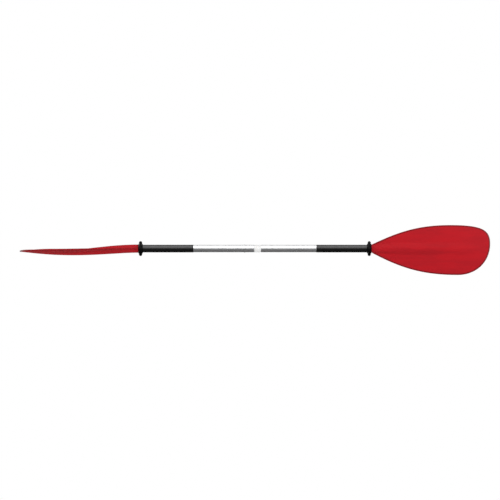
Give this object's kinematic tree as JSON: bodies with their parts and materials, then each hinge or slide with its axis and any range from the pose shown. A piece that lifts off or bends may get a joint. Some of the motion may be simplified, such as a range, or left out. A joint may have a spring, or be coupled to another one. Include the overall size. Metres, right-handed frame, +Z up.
{
  "type": "kayak paddle",
  "caption": "Two-piece feathered kayak paddle: aluminium shaft, asymmetric moulded blades, grip sleeves, drip rings and a snap-button ferrule.",
  "frame": {"origin": "middle of the ferrule's collar, on the shaft's axis", "axes": "+X along the shaft towards the upright right blade; +Z up, the way the left blade's power face looks; +Y the way the right blade's power face looks"},
  "size_m": [1.961, 0.208, 0.208],
  "materials": {
    "aluminium": "fine brushed, clear anodised",
    "grip": "satin shrink sleeve",
    "rubber": "smooth moulded",
    "blade": "semi-matte moulded red polypropylene",
    "ferrule": "smooth white nylon",
    "steel": "bright stainless",
    "foam": "closed-cell foam"
  },
  "bodies": {
    "left_half": {"left_shaft_tube": "aluminium", "left_grip_sleeve": "grip", "left_blade": "blade", "left_blade_rivet_1": "steel", "left_blade_rivet_2": "steel", "left_bung": "foam", "ferrule": "ferrule", "ferrule_rivet_1": "steel", "ferrule_rivet_2": "steel", "button_spring": "steel"},
    "right_half": {"right_shaft_tube": "aluminium", "right_grip_sleeve": "grip", "right_blade": "blade", "right_blade_rivet_1": "steel", "right_blade_rivet_2": "steel", "right_bung": "foam"},
    "seal": {"seal_ring": "rubber"},
    "button": {"snap_button": "steel"},
    "left_ring": {"left_drip_ring": "rubber"},
    "right_ring": {"right_drip_ring": "rubber"}
  },
  "joints": [
    {"name": "feather_turn", "type": "hinge", "parent": "left_half", "child": "seal", "pos_m": [0, 0, 0], "axis": [1, 0, 0], "continuous": true},
    {"name": "pull_apart", "type": "slide", "parent": "seal", "child": "right_half", "axis": [1, 0, 0], "range_m": [0, 0.15]},
    {"name": "button_travel", "type": "slide", "parent": "left_half", "child": "button", "axis": [0, 0, 1], "range_m": [0, 0.0032], "stiffness_N_per_m": 2000, "springref_m": 0.005, "deforming": ["button_spring"]},
    {"name": "left_ring_slide", "type": "slide", "parent": "left_half", "child": "left_ring", "axis": [1, 0, 0], "range_m": [0, 0.21]},
    {"name": "right_ring_slide", "type": "slide", "parent": "right_half", "child": "right_ring", "axis": [-1, 0, 0], "range_m": [0, 0.21]}
  ]
}
